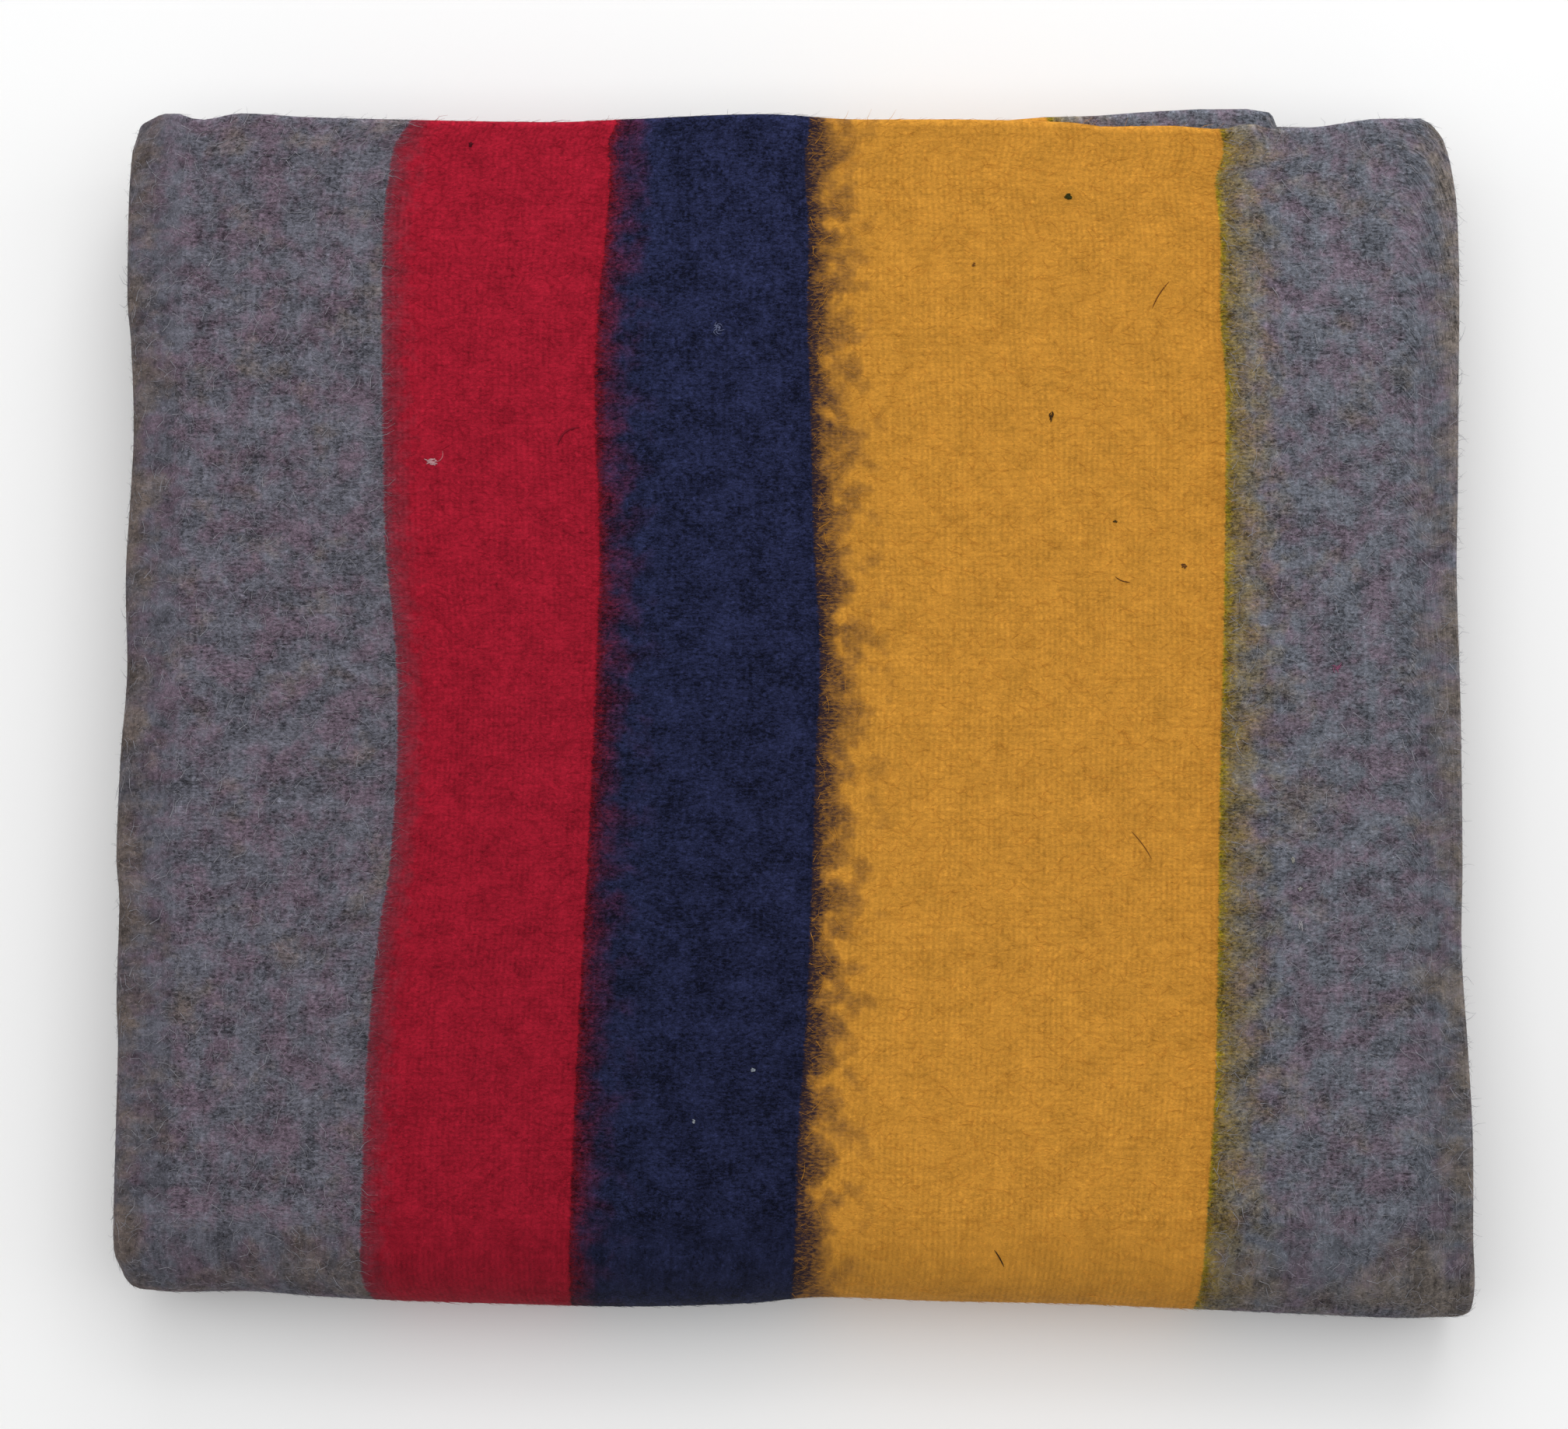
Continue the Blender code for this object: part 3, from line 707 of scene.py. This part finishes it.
def fibreTree():
    # Grows bent, tapering three-sided fibres on the faces that a named attribute marks.
    tree = bpy.data.node_groups.new("raisedFibres", "GeometryNodeTree")
    sockets = (
        ("Geometry", "NodeSocketGeometry"), ("Where", "NodeSocketString"),
        ("Fibres per square metre", "NodeSocketFloat"), ("Length", "NodeSocketFloat"),
        ("Width", "NodeSocketFloat"), ("Lift", "NodeSocketFloat"),
        ("Turn aside", "NodeSocketFloat"), ("Least tone", "NodeSocketFloat"), ("Seed", "NodeSocketInt"),
        ("Material", "NodeSocketMaterial"),
    )
    for name, kind in sockets:
        tree.interface.new_socket(name, in_out="INPUT", socket_type=kind)
    tree.interface.new_socket("Geometry", in_out="OUTPUT", socket_type="NodeSocketGeometry")
    given = tree.nodes.new("NodeGroupInput").outputs
    where = addNode(tree, "GeometryNodeInputNamedAttribute", {"Name": given["Where"]}, data_type="FLOAT")
    density = numbers(tree, "MULTIPLY", where, given["Fibres per square metre"])
    roots = addNode(tree, "GeometryNodeDistributePointsOnFaces", {
        "Mesh": given["Geometry"], "Density": density, "Seed": given["Seed"],
    })
    normal = roots.node.outputs["Normal"]
    tone = addNode(tree, "FunctionNodeRandomValue", {"Min": given["Least tone"], "Seed": given["Seed"]},
                   data_type="FLOAT")
    roots = addNode(tree, "GeometryNodeStoreNamedAttribute", {
        "Geometry": roots, "Name": "fibreTone", "Value": tone,
    }, data_type="FLOAT", domain="POINT")
    napWay = addNode(tree, "GeometryNodeInputNamedAttribute", {"Name": "napDirection"},
                     data_type="FLOAT_VECTOR")
    upright = addNode(tree, "FunctionNodeAlignRotationToVector", {"Vector": normal}, axis="Z")
    lying = addNode(tree, "FunctionNodeAlignRotationToVector", {"Rotation": upright, "Vector": napWay},
                    axis="X", pivot_axis="Z")
    most = addNode(tree, "ShaderNodeCombineXYZ", {"X": 0.0, "Y": 0.0, "Z": given["Turn aside"]})
    liftBack = numbers(tree, "MULTIPLY", given["Lift"], -2.0)
    asideBack = numbers(tree, "MULTIPLY", given["Turn aside"], -1.0)
    least = addNode(tree, "ShaderNodeCombineXYZ", {"X": 0.0, "Y": liftBack, "Z": asideBack})
    turn = addNode(tree, "FunctionNodeRandomValue", {"Min": least, "Max": most, "Seed": given["Seed"]},
                   data_type="FLOAT_VECTOR")
    turn = addNode(tree, "FunctionNodeEulerToRotation", {"Euler": turn})
    lying = addNode(tree, "FunctionNodeRotateRotation", {"Rotation": lying, "Rotate By": turn},
                    rotation_space="LOCAL")
    profile = addNode(tree, "GeometryNodeCurvePrimitiveCircle", {"Resolution": 3, "Radius": 0.5})
    reached = addNode(tree, "GeometryNodeSplineParameter")
    taper = remapped(tree, reached, (0.0, 1.0), (1.0, nap["tip"]))
    slender = numbers(tree, "DIVIDE", given["Width"], given["Length"])
    thickness = numbers(tree, "MULTIPLY", taper, slender)
    fibres = tree.nodes.new("GeometryNodeJoinGeometry")
    for aside, rise in nap["shapes"]:
        curve = addNode(tree, "GeometryNodeCurveArc", {
            "Resolution": nap["points"], "Start": (0.0, 0.0, 0.0), "Middle": (0.5, aside, rise),
            "End": (1.0, -aside, rise),
        }, mode="POINTS")
        fibre = addNode(tree, "GeometryNodeCurveToMesh", {"Curve": curve, "Profile Curve": profile,
                                                          "Scale": thickness, "Fill Caps": True})
        fibre = addNode(tree, "GeometryNodeGeometryToInstance", {"Geometry": fibre})
        tree.links.new(fibre, fibres.inputs[0])
    pick = addNode(tree, "FunctionNodeRandomValue", {
        "Min": 0, "Max": len(nap["shapes"]) - 1, "Seed": given["Seed"],
    }, data_type="INT")
    size = addNode(tree, "FunctionNodeRandomValue", {
        "Min": nap["lengths"][0], "Max": nap["lengths"][1], "Seed": nap["lengthSeed"],
    }, data_type="FLOAT")
    size = numbers(tree, "MULTIPLY", size, given["Length"])
    placed = addNode(tree, "GeometryNodeInstanceOnPoints", {
        "Points": roots, "Instance": fibres.outputs[0], "Pick Instance": True, "Instance Index": pick,
        "Rotation": lying, "Scale": size,
    })
    placed = addNode(tree, "GeometryNodeRealizeInstances", {"Geometry": placed})
    placed = addNode(tree, "GeometryNodeSetMaterial", {"Geometry": placed, "Material": given["Material"]})
    finished = tree.nodes.new("NodeGroupOutput")
    tree.links.new(placed, finished.inputs["Geometry"])
    return tree


def growNap(cloth):
    tree = fibreTree()
    material = napFibre()
    inputs = {item.name: item.identifier for item in tree.interface.items_tree if item.in_out == "INPUT"}
    grown = []
    for growth in nap["growths"]:
        rooted = bpy.data.objects.new(growth.name, cloth.data)
        bpy.context.scene.collection.objects.link(rooted)
        modifier = rooted.modifiers.new("fibres", "NODES")
        modifier.node_group = tree
        modifier[inputs["Where"]] = growth.where
        modifier[inputs["Fibres per square metre"]] = float(growth.density)
        modifier[inputs["Length"]] = growth.length
        modifier[inputs["Width"]] = growth.width
        modifier[inputs["Lift"]] = growth.lift
        modifier[inputs["Turn aside"]] = growth.aside
        modifier[inputs["Least tone"]] = growth.pale
        modifier[inputs["Seed"]] = growth.seed
        modifier[inputs["Material"]] = material
        shaped = rooted.evaluated_get(bpy.context.evaluated_depsgraph_get())
        mesh = bpy.data.meshes.new_from_object(shaped)
        rooted.modifiers.clear()
        rooted.data = mesh
        mesh.name = growth.name
        mesh.shade_smooth()
        grown.append(rooted)
        print(growth.name, sum(len(face.vertices) - 2 for face in mesh.polygons), "triangles")
    return grown


# Stray hairs and specks that lie on the cloth: a hair is one fibre, a speck a small tangle of short ones.
# Places, lengths and thicknesses are in millimetres, headings in degrees.
Stray = collections.namedtuple("Stray", "x y length width heading bend thickness count colour")
strays = (
    Stray(142.3, 159.2, 12.5, 0, 58, 0.05, 0.40, 1, "#623813"),
    Stray(126.5, 47.6, 6.0, 0, -21, -0.09, 0.42, 1, "#5c3716"),
    Stray(132.7, -55.0, 13.0, 0, -54, 0.04, 0.36, 1, "#6e4319"),
    Stray(77.6, -211.9, 7.2, 0, -60, 0.03, 0.50, 1, "#2e1c0c"),
    Stray(-87.5, 103.5, 11.0, 0, 40, 0.20, 0.80, 1, "#780f22"),
    Stray(-140.4, 93.5, 4.6, 1.5, 2, 0.10, 0.38, 11, "#bf9498"),
    Stray(-137.4, 95.6, 5.0, 0, 62, -0.22, 0.38, 1, "#b8686f"),
    Stray(106.9, 198.5, 2.8, 1.7, 0, 0.15, 0.55, 16, "#33330f"),
    Stray(69.8, 171.3, 1.5, 1.4, 0, 0.15, 0.40, 7, "#70481d"),
    Stray(99.3, 111.2, 3.6, 0.7, 84, 0.12, 0.45, 5, "#3f2a10"),
    Stray(123.7, 70.6, 1.6, 0.9, 0, 0.12, 0.40, 6, "#3f3010"),
    Stray(150.3, 53.0, 2.1, 1.3, 10, 0.12, 0.45, 8, "#633f20"),
    Stray(-126.5, 219.6, 2.0, 1.6, 0, 0.12, 0.45, 8, "#4f0a18"),
    Stray(-30.1, 146.1, 4.0, 3.4, 40, 0.30, 0.22, 12, "#6f7695"),
    Stray(-16.0, -140.8, 1.5, 1.3, 80, 0.15, 0.40, 8, "#8b929c"),
    Stray(-38.4, -160.0, 1.4, 1.4, 0, 0.15, 0.40, 8, "#9a9fa6"),
    Stray(193.3, -85.7, 3.6, 1.2, 88, 0.15, 0.35, 9, "#98959a"),
    Stray(190.6, -60.8, 2.6, 1.1, -70, 0.15, 0.35, 7, "#98968f"),
    Stray(193.6, -71.6, 2.2, 1.4, 30, 0.15, 0.35, 7, "#95938f"),
    Stray(208.9, 14.0, 3.6, 3.0, 0, 0.25, 0.26, 12, "#8f5470"),
)


# How the fibres of a speck differ: shares of its size, of one fibre's length and of its bend.
speck = {
    "seed": 5, "apart": 0.6, "mostTurn": 1.4, "turn": 1.6, "lengths": (0.45, 0.8), "bends": (-2, 2),
    "rises": (0.0, 0.5),         # millimetres at the middle
    "sides": 4, "rings": 7, "tip": 0.6, "sunk": 0.7,
}


def strayWool():
    # Wool and hair of other colours, caught in the nap: each fibre has its own colour.
    material, tree = newMaterial("strayWool")
    dye = addNode(tree, "ShaderNodeAttribute", attribute_name="dye")
    shader = addNode(tree, "ShaderNodeBsdfPrincipled", {"Base Color": dye, "Roughness": 0.8,
                                                        "Specular IOR Level": 0.15})
    addNode(tree, "ShaderNodeOutputMaterial", {"Surface": shader})
    return material


def layStrays(blanket):
    # Each fibre is a bent four-sided rod, thin at its ends, that rests on the cloth.
    cloth = BVHTree.FromObject(blanket, bpy.context.evaluated_depsgraph_get())
    picks = np.random.default_rng(speck["seed"])
    sides, rings = speck["sides"], speck["rings"]
    above = 0.2    # metres, a height over the whole stack
    parts = np.linspace(-0.5, 0.5, rings)
    corners = 2 * math.pi * np.arange(sides) / sides
    tangle = bmesh.new()
    dyes = []
    for stray in strays:
        for number in range(stray.count):
            forward = np.array([math.cos(math.radians(stray.heading)), math.sin(math.radians(stray.heading))])
            across = np.array([-forward[1], forward[0]])
            middle = np.array([stray.x, stray.y])
            length, bend, rise = stray.length, stray.bend, 0.0
            if stray.count > 1:
                spread = picks.uniform(-0.5, 0.5, 2)
                middle = middle + spread[0] * stray.length * forward * speck["apart"]
                middle = middle + spread[1] * stray.width * across
                mostTurn = min(speck["mostTurn"], speck["turn"] * stray.width / stray.length)
                turn = picks.uniform(-1, 1) * mostTurn
                forward, across = (forward * math.cos(turn) + across * math.sin(turn),
                                   across * math.cos(turn) - forward * math.sin(turn))
                length *= picks.uniform(*speck["lengths"])
                bend *= picks.uniform(*speck["bends"])
                rise = picks.uniform(*speck["rises"])
            arch = 1 - 4 * parts ** 2
            line = middle + np.outer(parts * length, forward) + np.outer(arch * bend * length, across)
            thin = stray.thickness / 2 * (1 - speck["tip"] * (2 * np.abs(parts)) ** 6)
            loops = []
            for place, radius, hump in zip(line, thin, arch):
                over = Vector((place[0] / 1000, place[1] / 1000, above))
                ground = cloth.ray_cast(over, Vector((0, 0, -1)))[0]
                centre = Vector((over.x, over.y, ground.z + (radius * speck["sunk"] + rise * hump) / 1000))
                outwards = [Vector((*(across * math.cos(corner)), math.sin(corner))) for corner in corners]
                loops.append([tangle.verts.new(centre + way * radius / 1000) for way in outwards])
            for loop, after in zip(loops, loops[1:]):
                for side in range(sides):
                    beside = (side + 1) % sides
                    tangle.faces.new((loop[side], loop[beside], after[beside], after[side]))
            tangle.faces.new(loops[0][::-1])
            tangle.faces.new(loops[-1])
            dyes += [linear(stray.colour)] * (sides * rings)
    bmesh.ops.recalc_face_normals(tangle, faces=tangle.faces[:])
    mesh = bpy.data.meshes.new("strayFibres")
    tangle.to_mesh(mesh)
    tangle.free()
    dye = mesh.attributes.new("dye", "FLOAT_COLOR", "POINT")
    dye.data.foreach_set("color", np.ravel(dyes).astype(np.float32))
    mesh.materials.append(strayWool())
    mesh.shade_smooth()
    laid = bpy.data.objects.new("strayFibres", mesh)
    bpy.context.scene.collection.objects.link(laid)
    print("stray fibres:", sum(stray.count for stray in strays))
    return laid


def paleFloor():
    # Matt white studio board.
    material, tree = newMaterial("whiteBoard")
    shader = addNode(tree, "ShaderNodeBsdfPrincipled", {"Base Color": linear("#f6f6f6"), "Roughness": 0.9,
                                                        "Specular IOR Level": 0.1})
    addNode(tree, "ShaderNodeOutputMaterial", {"Surface": shader})
    return material


def addStudio():
    studio = {
        "floor": 4.0,            # half its width
        "light": 0.66,           # share of each lamp's power
        "world": 0.36,           # brightness of the white room around
        "lamps": (               # name, place, width, power
            ("overhead", (0.0, 0.3, 2.2), 2.6, 42),
            ("back", (0.2, 1.7, 1.5), 1.6, 22),
            ("left", (-1.8, 0.0, 1.4), 1.6, 10),
            ("right", (1.8, 0.1, 1.5), 1.6, 12),
        ),
    }
    board = bmesh.new()
    bmesh.ops.create_grid(board, x_segments=1, y_segments=1, size=studio["floor"])
    mesh = bpy.data.meshes.new("floor")
    board.to_mesh(mesh)
    board.free()
    floor = bpy.data.objects.new("floor", mesh)
    mesh.materials.append(paleFloor())
    bpy.context.scene.collection.objects.link(floor)
    for name, place, size, power in studio["lamps"]:
        lamp = bpy.data.lights.new(name, "AREA")
        lamp.energy = power * studio["light"]
        lamp.size = size
        lampObject = bpy.data.objects.new(name, lamp)
        lampObject.location = place
        lampObject.rotation_euler = (-Vector(place)).to_track_quat("-Z", "Y").to_euler()
        bpy.context.scene.collection.objects.link(lampObject)
    world = bpy.data.worlds.new("studio")
    world.use_nodes = True
    world.node_tree.nodes["Background"].inputs["Color"].default_value = (1.0, 1.0, 1.0, 1.0)
    world.node_tree.nodes["Background"].inputs["Strength"].default_value = studio["world"]
    bpy.context.scene.world = world
    bpy.context.scene.view_settings.view_transform = "Standard"


def addCamera():
    view = {"target": (-0.0041, -0.0041, 0.062), "distance": 1.5, "elevation": 84.0, "lens": 89.3}
    target = Vector(view["target"])
    slope = math.radians(view["elevation"])
    camera = bpy.data.cameras.new("camera")
    camera.lens = view["lens"]
    camera.sensor_width = 36.0
    camera.sensor_fit = "HORIZONTAL"
    cameraObject = bpy.data.objects.new("camera", camera)
    outwards = Vector((0, -math.cos(slope), math.sin(slope)))
    cameraObject.location = target + view["distance"] * outwards
    cameraObject.rotation_euler = (-outwards).to_track_quat("-Z", "Y").to_euler()
    bpy.context.scene.collection.objects.link(cameraObject)
    bpy.context.scene.camera = cameraObject


addCamera()
addStudio()
cloth, flatSize = makeCloth()
cloth.data.materials.append(feltedWool())
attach(cloth, bodyName)
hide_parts("blanket")
raised = growNap(cloth) + [layStrays(cloth)]
for piece in raised:
    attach(piece, bodyName)
